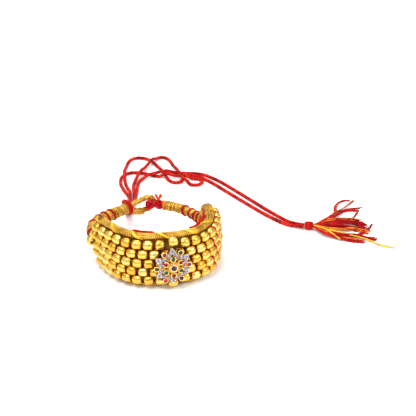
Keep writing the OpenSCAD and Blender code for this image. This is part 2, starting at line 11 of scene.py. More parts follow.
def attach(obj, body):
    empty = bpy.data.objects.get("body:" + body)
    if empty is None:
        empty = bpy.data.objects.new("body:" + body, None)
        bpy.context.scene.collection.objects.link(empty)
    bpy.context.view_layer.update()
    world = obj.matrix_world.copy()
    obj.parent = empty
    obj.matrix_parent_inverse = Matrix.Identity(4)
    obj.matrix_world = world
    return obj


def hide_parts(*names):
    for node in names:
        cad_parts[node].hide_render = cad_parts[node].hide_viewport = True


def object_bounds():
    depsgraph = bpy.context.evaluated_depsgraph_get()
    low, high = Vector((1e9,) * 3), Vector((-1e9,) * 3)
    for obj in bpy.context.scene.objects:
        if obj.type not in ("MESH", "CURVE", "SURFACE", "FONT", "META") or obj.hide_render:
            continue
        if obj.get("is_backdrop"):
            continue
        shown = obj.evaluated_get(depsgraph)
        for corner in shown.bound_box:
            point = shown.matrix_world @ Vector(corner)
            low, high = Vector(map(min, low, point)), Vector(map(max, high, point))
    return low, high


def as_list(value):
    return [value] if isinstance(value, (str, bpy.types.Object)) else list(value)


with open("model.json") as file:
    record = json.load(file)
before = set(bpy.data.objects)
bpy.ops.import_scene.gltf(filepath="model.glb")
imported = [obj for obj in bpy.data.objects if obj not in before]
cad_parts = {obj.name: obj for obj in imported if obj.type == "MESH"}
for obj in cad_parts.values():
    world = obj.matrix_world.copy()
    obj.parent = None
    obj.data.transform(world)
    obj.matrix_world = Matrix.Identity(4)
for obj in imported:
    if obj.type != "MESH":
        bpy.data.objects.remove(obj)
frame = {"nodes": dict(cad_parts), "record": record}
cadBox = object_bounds()
mm = 0.001  # every size below is in millimetres
zAxis = Vector((0, 0, 1))
scene = bpy.context.scene


# Small helpers
def srgb(hexText):
    parts = [int(hexText[i:i + 2], 16) / 255 for i in (0, 2, 4)]
    return tuple(c / 12.92 if c <= 0.04045 else ((c + 0.055) / 1.055) ** 2.4 for c in parts) + (1.0,)


def addNode(tree, kind, values=None, links=None, **settings):
    node = tree.nodes.new("ShaderNode" + kind)
    for name, value in settings.items():
        setattr(node, name, value)
    for name, value in (values or {}).items():
        node.inputs[name].default_value = value
    for name, source in (links or {}).items():
        tree.links.new(source, node.inputs[name])
    return node


def compute(tree, operation, *values):
    node = addNode(tree, "Math", operation=operation)
    for socket, value in zip(node.inputs, values):
        if isinstance(value, (int, float)):
            socket.default_value = value
        else:
            tree.links.new(value, socket)
    return node.outputs[0]


def colourRamp(tree, factor, stops):
    ramp = addNode(tree, "ValToRGB", links={"Fac": factor})
    while len(ramp.color_ramp.elements) < len(stops):
        ramp.color_ramp.elements.new(0.5)
    for element, (place, hexText) in zip(ramp.color_ramp.elements, stops):
        element.position = place
        element.color = srgb(hexText)
    return ramp.outputs["Color"]


def blendColours(tree, factor, first, second, way="MIX"):
    blend = addNode(tree, "Mix", data_type="RGBA", blend_type=way)
    for socket, source in ((0, factor), (6, first), (7, second)):
        if isinstance(source, (float, tuple)):
            blend.inputs[socket].default_value = source
        else:
            tree.links.new(source, blend.inputs[socket])
    return blend.outputs[2]


def objectPlace(tree):
    return addNode(tree, "TexCoord").outputs["Object"]


def split(tree, vector):
    return addNode(tree, "SeparateXYZ", links={0: vector}).outputs


def noise(tree, place, size, detail, roughness=0.5):
    values = {"Scale": 1 / (size * mm), "Detail": detail, "Roughness": roughness}
    return addNode(tree, "TexNoise", values, {"Vector": place}).outputs["Fac"]


def spread(tree, factor, low=0.0, high=1.0, first=0.0, last=1.0):
    values = {"From Min": first, "From Max": last, "To Min": low, "To Max": high}
    return addNode(tree, "MapRange", values, {"Value": factor}).outputs["Result"]


def bumpNormal(tree, height, strength, depth):
    values = {"Strength": strength, "Distance": depth * mm}
    return addNode(tree, "Bump", values, {"Height": height}).outputs["Normal"]


def meshFrom(name, bm):
    mesh = bpy.data.meshes.new(name)
    bm.to_mesh(mesh)
    bm.free()
    return mesh


def addObject(name, data):
    made = bpy.data.objects.new(name, data)
    scene.collection.objects.link(made)
    return made


def newMaterial(name):
    material = bpy.data.materials.new(name)
    material.use_nodes = True
    material.node_tree.nodes.clear()
    return material, material.node_tree


def finishMaterial(tree, values, links):
    shader = addNode(tree, "BsdfPrincipled", values, links)
    addNode(tree, "OutputMaterial", links={"Surface": shader.outputs["BSDF"]})


# Materials
thread = {
    "fibreSize": 0.7, "streakScale": 0.15, "streakDepth": 1.3, "plyDepth": 0.22,
    "redFrom": 21,  # this far to the right of the middle, the beads' thread is red
}


def goldMaterial(name, dentSize, dentDepth, patchSize, roughness, stops):
    material, tree = newMaterial(name)
    place = objectPlace(tree)
    dents = noise(tree, place, dentSize, 2.0, 0.45)
    patches = noise(tree, place, patchSize, 3.0)
    tone = addNode(tree, "Attribute", attribute_name="tone").outputs["Fac"]
    colour = colourRamp(tree, compute(tree, "MULTIPLY_ADD", tone, 0.5, patches), stops)
    finishMaterial(tree, {"Metallic": 1.0}, {
        "Base Color": colour, "Roughness": spread(tree, patches, *roughness),
        "Normal": bumpNormal(tree, dents, 0.8, dentDepth)})
    return material


# Lines run slantwise round the thread at its ply pitch, over fibres and slow streaks along its length; the
# lines are painted shade in the grooves and painted highlight on the crests
def threadMaterial(name, colours, plyPitch, metallic, roughness, places=(0.1, 0.5, 0.85), bumpDepth=0.12,
                   rightColours=None):
    material, tree = newMaterial(name)
    parts = split(tree, addNode(tree, "UVMap", uv_map="UVMap").outputs["UV"])
    spiral = compute(tree, "ADD", compute(tree, "MULTIPLY", parts["X"], 1 / plyPitch), parts["Y"])
    plies = compute(tree, "SINE", compute(tree, "MULTIPLY", spiral, tau))
    place = objectPlace(tree)
    fibres = noise(tree, place, thread["fibreSize"], 4.0, 0.7)
    streaks = addNode(tree, "TexNoise", {"Scale": thread["streakScale"], "Detail": 1.0},
                      {"W": parts["X"]}, noise_dimensions="1D").outputs["Fac"]
    uneven = compute(tree, "MULTIPLY_ADD", streaks, thread["streakDepth"], fibres)
    level = compute(tree, "SUBTRACT", uneven, thread["streakDepth"] / 2)
    # the ply lines add painted shade in the grooves and painted highlight on the crests; fibres and streaks
    # are the thread's own uneven tone
    shade = compute(tree, "MULTIPLY_ADD", plies, thread["plyDepth"], level)
    colour = colourRamp(tree, shade, [*zip(places, colours)])
    if rightColours:
        right = compute(tree, "GREATER_THAN", split(tree, place)["X"], thread["redFrom"] * mm)
        colour = blendColours(tree, right, colour, colourRamp(tree, shade, [*zip(places, rightColours)]))
    finishMaterial(tree, {"Metallic": metallic, "Roughness": roughness, "Specular IOR Level": 0.1},
                   {"Base Color": colour, "Normal": bumpNormal(tree, shade, 0.9, bumpDepth)})
    return material


def stoneMaterial(name, dark, light, ior=1.6):
    material, tree = newMaterial(name)
    cloud = noise(tree, objectPlace(tree), 1.5, 2.0)
    values = {"Roughness": 0.12, "IOR": ior, "Transmission Weight": 0.1, "Specular IOR Level": 0.25}
    finishMaterial(tree, values, {"Base Color": colourRamp(tree, cloud, [(0.35, dark), (0.7, light)])})
    return material


# Gold-plated brass, tumbled and polished: a warm bright metal with soft dents that break up the reflections
beadGold = goldMaterial("goldPlatedBrassTumbled", 2.0, 0.3, 6, (0.24, 0.34),
                        [(0.25, "ecb446"), (0.6, "f6ca5e"), (0.9, "fbdc8a")])
# Zari, a flat gold strip wound on a yellow core and twisted: fine slanting lines.
# Its real lay is 0.3 mm and is drawn at 0.9 mm.
zari = threadMaterial("zariGoldThread", ("684608", "b88428", "e0b854"), 0.9, 0.55, 0.4,
                      places=(0.1, 0.45, 0.8))
# Brighter zari thread that binds the edging and shows in the tassel
brightZari = threadMaterial("zariBrightThread", ("b4800a", "ecb81c", "fbdc54"), 0.9, 0.3, 0.35,
                            places=(0.1, 0.5, 0.8))
# Twisted art-silk cord, bright red: soft sheen along the plies
redSilk = threadMaterial("artSilkBrightRed", ("740604", "b41008", "d82a18"), 1.6, 0.0, 0.5, bumpDepth=0.2)
# Crimson silk of the stripes and of the collar's winding
darkRedSilk = threadMaterial("silkCrimson", ("54020a", "9c0810", "c21418"), 1.0, 0.0, 0.6)
# Cardinal red silk of the button knot
knotThread = threadMaterial("silkCardinalRed", ("66020a", "b40a18", "de2430"), 1.2, 0.0, 0.5)
# Vermilion silk of the knot's cut ends
vermilionSilk = threadMaterial("silkVermilion", ("9c1c04", "e23a10", "f6602c"), 1.2, 0.0, 0.5)
# Orange silk of the binding next to the knot and of some of the tassel's threads
orangeThread = threadMaterial("silkOrange", ("9a4408", "dc7a16", "f4a238"), 0.9, 0.1, 0.45)
# Waxed cotton through the beads, brown, and red towards the right end
rowThread = threadMaterial("waxedCottonBrown", ("1e0e04", "4c2c0c", "7a4c18"), 1.0, 0.0, 0.6,
                           rightColours=("6a0408", "b40e14", "d8262a"))
# Clear cut stones: bright gloss on top, the seat's light coming through
stoneLooks = {
    "white_stone": ("cubicZirconiaWhite", "6c6c90", "a8a8c8", 2.1),
    "lilac_stone": ("glassLilac", "1c1028", "46345e"),
    "red_stone": ("glassRed", "72000c", "9c0616"),
    "pink_stone": ("glassPinkRed", "ac1030", "d4264c"),
    "magenta_stone": ("glassMagenta", "68004a", "9c0470"),
    "green_stone": ("glassGreen", "004822", "046c36"),
    "dark_green_stone": ("glassDarkGreen", "00301c", "005038"),
    "blue_green_stone": ("glassBlueGreen", "001018", "042834"),
}
stoneKinds = {slot: stoneMaterial(*look) for slot, look in stoneLooks.items()}
print("materials made")

# The cuff's own line
ring = {
    # from the medallion, every 30 degrees
    "radii": [29.0, 30.5, 27.8, 25.8, 26.8, 29.2, 30.0, 29.4, 31.4, 30.0, 27.8, 29.4],
    "shift": Vector((0.74, 3.0)), "middle": 14.0, "rimMid": 13.925,
    "leanTurns": (-50, -86, -92, -110),  # the left end leans in: start, full, fade, end
    "leanDepth": 2.7, "leanGrowth": 0.1,
}
rows = {
    # how far out the row stands, its places, and how far the medallion lifts and pushes its middle beads
    "table": [
        (3.2, 17, 1.9, 1.5),
        (3.8, 18, 0, 0),
        (4.1, 19, 0, 0),
        (3.8, 18, 0, 0),
        (3.3, 17, -1.5, 0.9),
    ],
    "middle": 2,  # the medallion's post takes the middle place of this row
    "step": 4.65, "pitch": 5.48, "middleRoom": 0.6, "liftReach": 3.2,
    "threadRadius": 0.35, "threadTail": 0.8, "stitchRadius": 0.34, "stitchHoop": 1.9,
    # the end bead that shows its hole
    "turned": {"row": 2, "place": 0, "moved": Vector((-1.4, 0.3, 0.2)), "facing": Vector((-0.08, -0.98, 0))},
}


def ringRadius(turn):
    count = len(ring["radii"])
    place = (turn % 360) / (360 / count)
    i = floor(place)
    u = place - i
    a, b, c, d = (ring["radii"][(i + k) % count] for k in (-1, 0, 1, 2))
    return 0.5 * (2 * b + (c - a) * u + (2 * a - 5 * b + 4 * c - d) * u * u
                  + (3 * b - a - 3 * c + d) * u ** 3)


def rimPoint(turn):
    t = radians(turn)
    return ring["shift"] + ringRadius(turn) * Vector((sin(t), -cos(t)))


def along(turn):
    return (rimPoint(turn + 1) - rimPoint(turn - 1)).normalized()


def eased(u):
    v = min(max(u, 0), 1)
    return v * v * (3 - 2 * v)


def leanAt(turn, z):
    start, full, fade, end = ring["leanTurns"]
    depth = ring["leanDepth"] + ring["leanGrowth"] * (ring["middle"] - z)
    return depth * eased((turn - start) / (full - start)) * (1 - eased((turn - fade) / (end - fade)))


def ringPoint(turn, out, z):
    t = along(turn)
    return rimPoint(turn) + (out - leanAt(turn, z)) * Vector((t.y, -t.x))


# Pairs of the distance along a line round the cuff, counted from the medallion, and the turn
def measured(pointAt):
    turns = list(range(-180, 181, 2))
    points = [pointAt(t) for t in turns]
    sums = [0.0]
    for a, b in zip(points, points[1:]):
        sums.append(sums[-1] + (b - a).length)
    half = sums[len(sums) // 2]
    return [(s - half, t) for s, t in zip(sums, turns)]


def lookUp(value, pairs):
    if value <= pairs[0][0]:
        return pairs[0][1]
    for (a, p), (b, q) in zip(pairs, pairs[1:]):
        if value <= b:
            return p + (q - p) * (value - a) / (b - a)
    return pairs[-1][1]


rimMeasure = measured(rimPoint)
ringLength = rimMeasure[-1][0] - rimMeasure[0][0]


def turnAt(s):
    if s > rimMeasure[-1][0]:
        s -= ringLength
    elif s < rimMeasure[0][0]:
        s += ringLength
    return lookUp(s, rimMeasure)


def placeAt(s, out, z):
    p = ringPoint(turnAt(s), out, z)
    return Vector((p.x, p.y, z))


def alongAt(s):
    return along(turnAt(s)).to_3d()


def outAt(s):
    return alongAt(s).cross(zAxis)


# A point on an ellipse that stands upright, as seen from its middle
def spoke(out, angle, depth, height):
    return depth * cos(angle) * out + height * sin(angle) * zAxis


# Sweeps
# Lays a grid on pointAt's points and closes it where they meet. run and girth are the texture's sizes
def rollGrid(bm, stations, sides, pointAt, run, closed=False, girth=1.0):
    spans = stations if closed else stations - 1
    made = bmesh.ops.create_grid(bm, x_segments=spans, y_segments=sides, size=0.5, calc_uvs=True)["verts"]
    uvLayer = bm.loops.layers.uv.verify()
    for face in {f for v in made for f in v.link_faces}:
        for loop in face.loops:
            loop[uvLayer].uv.x *= run
            loop[uvLayer].uv.y *= girth
    for vert in made:
        i, j = round((vert.co.x + 0.5) * spans), round((vert.co.y + 0.5) * sides)
        vert.co = pointAt(i % stations, j % sides) * mm
    bmesh.ops.remove_doubles(bm, verts=made, dist=1e-7)


# A curve through the points that doesn't swing wide where they lie close together
def smoothPath(points, step):
    path = []
    for i, (b, c) in enumerate(zip(points, points[1:])):
        a = points[i - 1] if i else 2 * b - c
        d = points[i + 2] if i + 2 < len(points) else 2 * c - b
        first, middle, last = (sqrt((q - p).length) for p, q in ((a, b), (b, c), (c, d)))
        leave = middle * ((b - a) / first - (c - a) / (first + middle)) + (c - b)
        arrive = middle * ((d - c) / last - (d - b) / (middle + last)) + (c - b)
        parts = max(1, ceil((c - b).length / step))
        for k in range(parts):
            u = k / parts
            path.append(b + leave * u + (3 * (c - b) - 2 * leave - arrive) * u * u
                        + (leave + arrive - 2 * (c - b)) * u ** 3)
    path.append(points[-1])
    return path


def pathLength(path, closed=False):
    total = sum((b - a).length for a, b in zip(path, path[1:]))
    return total + ((path[0] - path[-1]).length if closed else 0)


# The run and two sides at each point, turned as little as possible from one point to the next
def pathFrames(path, closed=False):
    count = len(path)
    tangents = []
    for i in range(count):
        ahead = path[(i + 1) % count] if closed else path[min(i + 1, count - 1)]
        behind = path[i - 1] if closed or i else path[0]
        tangents.append((ahead - behind).normalized())
    side = tangents[0].cross(zAxis)
    if side.length < 0.1:
        side = tangents[0].cross(Vector((1, 0, 0)))
    sides = [side.normalized()]
    for a, b in zip(tangents, tangents[1:]):
        sides.append((a.rotation_difference(b) @ sides[-1]).normalized())
    if closed:
        back = (tangents[-1].rotation_difference(tangents[0]) @ sides[-1]).normalized()
        miss = atan2(back.cross(sides[0]).dot(tangents[0]), back.dot(sides[0]))
        sides = [Matrix.Rotation(miss * i / count, 3, tangents[i]) @ s for i, s in enumerate(sides)]
    return [(t, s, s.cross(t)) for t, s in zip(tangents, sides)]


def addTube(bm, path, radius, sides, closed=False, lobes=0, lobeDepth=0.0, lobePitch=1.0):
    frames = pathFrames(path, closed)
    run = pathLength(path, closed)
    step = run / max(len(path) - 1, 1)

    def pointAt(i, j):
        angle = tau * j / sides
        r = radius
        if lobes:
            r *= 1 + lobeDepth * cos(lobes * (angle - tau * i * step / lobePitch))
        t, s, u = frames[i]
        return path[i] + r * (cos(angle) * s + sin(angle) * u)

    rollGrid(bm, len(path), sides, pointAt, run, closed)


# A tube that winds round the path in an ellipse
def addStrand(bm, path, frames, around, radius, pitch, phase, sides, closed=False):
    step = pathLength(path, closed) / max(len(path) - (0 if closed else 1), 1)
    if closed:
        pitch = len(path) * step / max(round(len(path) * step / pitch), 1)
    strand = []
    for i, (p, (t, s, u)) in enumerate(zip(path, frames)):
        angle = phase + tau * i * step / pitch
        strand.append(p + around[0] * cos(angle) * s + around[1] * sin(angle) * u)
    addTube(bm, strand, radius, sides, closed)


def finishPiece(name, bm, material, replaces=(), smooth=True, mends=True):
    if mends:
        bmesh.ops.holes_fill(bm, edges=bm.edges[:], sides=40)
    bmesh.ops.recalc_face_normals(bm, faces=bm.faces[:])
    mesh = meshFrom(name, bm)
    for polygon in mesh.polygons:
        polygon.use_smooth = smooth
    mesh.materials.append(material)
    piece = addObject(name, mesh)
    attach(piece, "root")
    if replaces:
        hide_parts(*replaces)
    return piece


def newMesh():
    bm = bmesh.new()
    bm.loops.layers.uv.new("UVMap")
    return bm


# Camera and stage
stage = {
    "aim": Vector((41.3, 48.0, 0)) * mm, "distance": 848 * mm, "azimuth": -16.5, "elevation": 26.3,
    "lens": 138.46, "sensor": 36, "clip": (0.05, 20),
    "floor": "f4f4f4", "floorSize": 4, "floorGlow": 0.12,
    "lensStops": [(0.0, "d8d8d8"), (0.72, "ffffff"), (0.962, "ffffff"), (0.985, "3a3a3a")],
    "wallStops": [(0.0, "e6e2da"), (0.12, "cfc8bc"), (0.35, "ffffff"), (0.95, "e0e0e0")],
    "surround": 0.95,
}


def lookBack(azimuth, elevation):
    a, e = radians(azimuth), radians(elevation)
    return Vector((sin(a) * cos(e), -cos(a) * cos(e), sin(e)))


def aim(thing, place, back):
    thing.location = place
    thing.rotation_mode = "QUATERNION"
    thing.rotation_quaternion = (-back).to_track_quat("-Z", "Y")


camera = addObject("camera", bpy.data.cameras.new("camera"))
camera.data.lens = stage["lens"]
camera.data.sensor_width = stage["sensor"]
camera.data.clip_start, camera.data.clip_end = stage["clip"]
back = lookBack(stage["azimuth"], stage["elevation"])
aim(camera, stage["aim"] + stage["distance"] * back, back)
scene.camera = camera

floorMesh = bmesh.new()
bmesh.ops.create_grid(floorMesh, x_segments=1, y_segments=1, size=stage["floorSize"])
floorData = meshFrom("floor", floorMesh)
floorObject = addObject("floor", floorData)
floorPaper, floorTree = newMaterial("matteBackdropPaper")
finishMaterial(floorTree, {"Base Color": srgb(stage["floor"]), "Roughness": 0.9, "Specular IOR Level": 0.1,
                           "Emission Color": srgb("ffffff"), "Emission Strength": stage["floorGlow"]}, {})
floorData.materials.append(floorPaper)
floorObject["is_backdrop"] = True

# In the reflections the lens shows as a dark spot, over dim skirting and bright walls
world = bpy.data.worlds.new("studio")
world.use_nodes = True
tree = world.node_tree
direction = addNode(tree, "TexCoord").outputs["Generated"]
towards = addNode(tree, "VectorMath", {1: back}, {0: direction}, operation="DOT_PRODUCT")
lens = colourRamp(tree, towards.outputs["Value"], stage["lensStops"])
walls = colourRamp(tree, split(tree, direction)["Z"], stage["wallStops"])
background = tree.nodes["Background"]
tree.links.new(blendColours(tree, 1.0, lens, walls, "MULTIPLY"), background.inputs["Color"])
background.inputs["Strength"].default_value = stage["surround"]
scene.world = world

lights = {
    "distance": 0.9, "centre": Vector((0.03, 0.03, 0)),
    "lamps": [  # name, azimuth, elevation, size, power
        ("key", -50, 60, 0.3, 5),
        ("fill", 45, 45, 0.35, 2.5),
        ("top", 170, 65, 0.35, 3),
    ],
}
for name, azimuth, elevation, size, power in lights["lamps"]:
    lamp = bpy.data.lights.new(name, "AREA")
    lamp.size = size
    lamp.energy = power
    direction = lookBack(azimuth, elevation)
    aim(addObject(name, lamp), lights["distance"] * direction + lights["centre"], direction)
scene.view_settings.view_transform = "Standard"
print("camera and stage set")

# Tie cords
cords = {
    "diameter": 1.8, "sides": 12, "plies": 2, "plyDepth": 0.05, "plyPitch": 5.2,
    "shift": Vector((-1.26, 0, 0)), "step": 0.7,
    "lowest": 0.95,  # the middle of a cord that lies on the surface
    # a point of a route that has no height lies on the surface
    "tie_cord_1": [
        (-4.05, 36.1, 13.1), (-3.3, 39.4, 12.3), (-1.8, 43.8, 8), (-0.1, 48.1, 3.4), (1.7, 52.3), (5, 61),
        (8, 68.5), (10.5, 75), (12.5, 81.5), (15, 87.5), (18, 90.6, 1.3), (21.5, 91.6, 2.6),
        (25, 92.2, 2.9), (32.2, 93.3, 2.9), (35.3, 93.6, 1.6), (38.2, 93), (44, 90.8), (50.5, 87.5),
        (56.5, 78), (61.5, 64.5), (67, 48), (72.5, 31.5), (78, 18.5), (83.15, 11.55, 1.9)],
    "tie_cord_2": [
        (-4.05, 36.1, 15), (-3.3, 39.9, 14.3), (-1.7, 44.8, 10.1), (0.2, 49.4, 5.5), (2.3, 53.8, 2.85),
        (5.7, 62, 2.85), (7.9, 70.5, 2.85), (11.4, 85), (15.8, 93, 2.6), (19, 98, 2.9), (22.2, 102.7, 2),
        (28.8, 110.4, 2.95), (31.2, 113.2, 1.6), (33.7, 115.5), (36.6, 114.9), (38.2, 111.4),
        (38.5, 102, 1.2), (38.1, 94, 2.9), (38.5, 89.3, 2.9), (40.3, 85.9, 2.85), (44.3, 83.5),
        (47.5, 81.6), (48.2, 78), (45.2, 75.2), (41.5, 76.2), (39.4, 80.2, 2.3), (37.8, 84, 3),
        (35.3, 87.8, 2), (31, 90, 2.9), (27.2, 91.5, 1), (19.5, 98.2), (13.5, 100.4), (8, 97), (5, 89.5),
        (4.5, 80.5), (5, 69), (-0.3, 52.8), (-2.2, 47.8, 3.4), (-5.3, 39.2, 12.3), (-5.95, 35.8, 13)],
    "tie_cord_3": [
        (-5.95, 35.8, 15), (-5.3, 39.7, 14.3), (-3.7, 44.5, 10.1), (-1.9, 49, 5.5), (-0.1, 53.4, 2.85),
        (3.2, 61.4, 2.85), (5.2, 68.5, 2.85), (6.5, 74.5, 2.3), (7, 79.5, 1.3), (7.2, 85), (7.8, 90.5, 1.4),
        (8.8, 95.5, 2.8), (9.7, 99.5, 2.85), (11, 103.5, 1.8), (13.2, 109), (15.5, 114), (18.3, 117.5),
        (22, 118.6), (25.5, 117), (28, 113.5), (29.2, 109), (30, 104), (31, 98), (31.2, 92.5), (31, 88),
        (31.5, 84.2), (33.3, 81.5), (36, 81), (38.2, 82.9), (39.6, 86), (41.8, 88.2), (44.8, 88),
        (47.8, 85.2), (52, 77.5), (57, 63.5), (63, 46), (69, 29.5), (75.5, 16.5), (82.4, 9.6, 1.9)],
}
cordPieces = {}
for name in ("tie_cord_1", "tie_cord_2", "tie_cord_3"):
    points = [Vector((*p, cords["lowest"])[:3]) + cords["shift"] for p in cords[name]]
    path = smoothPath(points, cords["step"])
    path = [Vector((x, y, max(z, cords["lowest"]))) for x, y, z in path]
    bm = newMesh()
    addTube(bm, path, cords["diameter"] / 2, cords["sides"], lobes=cords["plies"],
            lobeDepth=cords["plyDepth"], lobePitch=cords["plyPitch"])
    cordPieces[name] = (finishPiece(name.replace("tie", "silk"), bm, redSilk, [name]), path)
print("tie cords laid")

# Beads
bead = {
    "diameter": 4.75, "length": 4.8, "bore": 1.2, "squareness": 3.3, "sides": 22, "tilt": 5,
    "hole": [(0, 0), (0, 0.5), (0, 0.86), (0.1, 0.95)],  # widening, and share of the half length
    "latitudes": range(78, -1, -13),
    "acrossSizes": (0.97, 1.01), "lengthSizes": (0.96, 1.01),
}


def beadMesh():
    bm = newMesh()
    half, radius, bore = bead["length"] / 2, bead["diameter"] / 2, bead["bore"] / 2
    power = 2 / bead["squareness"]
    outline = [(bore + wider, share * half) for wider, share in bead["hole"]]
    for t in map(radians, bead["latitudes"]):
        outline.append((radius * cos(t) ** power, half * sin(t) ** power))
    outline = [(r, z) for r, z in outline if r >= bore]
    rim = [bm.verts.new((r * mm, 0, z * mm)) for r, z in outline]
    edges = [bm.edges.new((a, b)) for a, b in zip(rim, rim[1:])]
    mirror = bmesh.ops.duplicate(bm, geom=rim + edges)["geom"]
    bmesh.ops.scale(bm, verts=[g for g in mirror if isinstance(g, bmesh.types.BMVert)], vec=(1, 1, -1))
    bmesh.ops.spin(bm, geom=bm.verts[:] + bm.edges[:], cent=(0, 0, 0), axis=(0, 0, 1), angle=tau,
                   steps=bead["sides"], use_merge=True, use_duplicate=False)
    bmesh.ops.remove_doubles(bm, verts=bm.verts[:], dist=1e-6)
    bmesh.ops.recalc_face_normals(bm, faces=bm.faces[:])
    return meshFrom("bead", bm)


def rowHeight(row):
    return ring["middle"] + (rows["middle"] - row) * rows["step"]


# Each place's number from the middle, its point and the direction of its hole
def beadPlaces(row):
    out, places, lift, push = rows["table"][row]
    height = rowHeight(row)
    measure = measured(lambda t: ringPoint(t, out, height))
    found = []
    for k in range(places):
        m = k - (places - 1) / 2
        s = m * rows["pitch"] + (rows["middleRoom"] if m > 0 else -rows["middleRoom"] if m < 0 else 0)
        near = exp(-(s / rows["liftReach"]) ** 2)
        turn = lookUp(s, measure)
        p = ringPoint(turn, out + push * near, height)
        found.append((m, Vector((p.x, p.y, height + lift * near)), along(turn).to_3d()))
    turned = rows["turned"]
    if row == turned["row"]:
        m, place, _ = found[turned["place"]]
        found[turned["place"]] = (m, place + turned["moved"], turned["facing"].normalized())
    return found


oneBead = beadMesh()
dice = random.Random(7)
for row in range(len(rows["table"])):
    places = beadPlaces(row)
    bm = newMesh()
    toneLayer = bm.verts.layers.float.new("tone")
    for m, place, run in places:
        if row == rows["middle"] and m == 0:
            continue
        first = len(bm.verts)
        bm.from_mesh(oneBead)
        bm.verts.ensure_lookup_table()
        fresh = bm.verts[first:]
        turn = Matrix.Rotation(atan2(run.y, run.x), 4, "Z") @ Matrix.Rotation(acos(run.z), 4, "Y")
        leanX, leanY = (radians(dice.uniform(-1, 1) * bead["tilt"]) for _ in range(2))
        lean = Matrix.Rotation(leanX, 4, "X") @ Matrix.Rotation(leanY, 4, "Y")
        spin = Matrix.Rotation(dice.uniform(0, tau), 4, "Z")
        sizes = [dice.uniform(*bead[key]) for key in ("acrossSizes", "acrossSizes", "lengthSizes")]
        pose = Matrix.Translation(place * mm) @ turn @ lean @ spin @ Matrix.Diagonal((*sizes, 1))
        bmesh.ops.transform(bm, matrix=pose, verts=fresh)
        tone = dice.uniform(-0.5, 0.5)
        for vert in fresh:
            vert[toneLayer] = tone
    number = str(row + 1)
    finishPiece("beads_row_" + number, bm, beadGold, ["bead_row_" + number], mends=False)

    bm = newMesh()
    route = []
    for k, (_, place, run) in enumerate(places):
        before = bead["length"] / 2 + (rows["threadTail"] if k == 0 else 0)
        after = bead["length"] / 2 + (rows["threadTail"] if k == len(places) - 1 else 0)
        route += [place - before * run, place + after * run]
    addTube(bm, route, rows["threadRadius"], 8)
    for (_, first, _), (_, second, _) in zip(places, places[1:]):
        middle, go = (first + second) / 2, (second - first).normalized()
        if middle.x > thread["redFrom"]:  # small red stitches between the beads
            out = go.cross(zAxis)
            size = rows["stitchHoop"]
            hoop = [middle + spoke(out, k * pi / 8, size, size) for k in range(16)]
            addTube(bm, hoop, rows["stitchRadius"], 6, True)
    finishPiece("thread_row_" + number, bm, rowThread, ["row_thread_" + number])
print("beads strung")

# Edging
edging = {
    "straight": 40, "end": 8.5, "rise": 12.575, "depth": 2.2, "height": 1.35, "step": 0.75,
    "coreIn": (0.7, 0.6), "coreSides": 12,
    "strands": 7, "strandRadius": 0.66, "strandPitch": 62, "strandsOut": 0.05,
    "bindingPitch": 13, "bindingRadius": 0.32, "bindingPhases": (0.6, 0.85, 1.1),
    "bindingRoom": 0.05, "bindingSunk": 0.15,
}


# The edging's line round the panel, unrolled: distance along the cuff, height above the panel's middle
def rimOutline(step):
    points = []
    straight, end, rise = edging["straight"], edging["end"], edging["rise"]
    top = round(2 * straight / step)
    bend = round(pi * (end + rise) / 2 / step)
    angles = [pi / 2 - pi * i / bend for i in range(bend)]
    for side in (1, -1):
        points += [(side * straight * (2 * i / top - 1), side * rise) for i in range(top)]
        points += [(side * (straight + end * cos(t)), side * rise * sin(t)) for t in angles]
    return points


outline = rimOutline(edging["step"])
edgePath = [placeAt(s, 0, ring["rimMid"] + z) for s, z in outline]
edgeFrames = []
for i, (s, z) in enumerate(outline):
    before, after = outline[i - 1], outline[(i + 1) % len(outline)]
    goS, goZ = after[0] - before[0], after[1] - before[1]
    size = hypot(goS, goZ)
    out = outAt(s)
    across = goS / size * zAxis - goZ / size * alongAt(s)
    edgeFrames.append((out.cross(across), out, across))


def edgeCore(i, j):
    angle = tau * j / edging["coreSides"]
    _, out, across = edgeFrames[i]
    return (edgePath[i] + (edging["depth"] - edging["coreIn"][0]) * cos(angle) * out
            + (edging["height"] - edging["coreIn"][1]) * sin(angle) * across)


bm = newMesh()
rollGrid(bm, len(edgePath), edging["coreSides"], edgeCore, pathLength(edgePath, True), True)
around = [edging[way] - edging["strandRadius"] + edging["strandsOut"] for way in ("depth", "height")]
for k in range(edging["strands"]):
    addStrand(bm, edgePath, edgeFrames, around, edging["strandRadius"], edging["strandPitch"],
              tau * k / edging["strands"], 8, True)
finishPiece("edging_strands", bm, zari, ["rim"], mends=False)

# The binding turns the other way round, hence a height below zero
bm = newMesh()
around = (edging["depth"] + edging["bindingRoom"], edging["bindingSunk"] - edging["height"])
for phase in edging["bindingPhases"]:
    addStrand(bm, edgePath, edgeFrames, around, edging["bindingRadius"], edging["bindingPitch"],
              phase, 6, True)
finishPiece("edging_binding", bm, brightZari, mends=False)
print("edging bound")

# Lining
lining = {
    "wall": 1.3, "columns": 150, "rowsUp": 26, "gap": 0.25, "endGap": 0.1, "behindBeads": 0.45,
    "wrinkle": 0.12, "wrinkleTurns": (1.15, 0.9, 0.2), "weave": 0.9,
}
liningInset = edging["height"] + lining["gap"]


def liningHalf(s):
    past = max(abs(s) - edging["straight"], 0) / (edging["end"] - liningInset)
    return (edging["rise"] - liningInset) * sqrt(max(1 - past * past, 0.01))


def liningOut(z):
    f = (z - ring["middle"]) / (2 * rows["step"])
    middle, outer = rows["table"][2][0], (rows["table"][0][0] + rows["table"][4][0]) / 2
    return middle - (middle - outer) * min(f * f, 1) - bead["diameter"] / 2 - lining["behindBeads"]
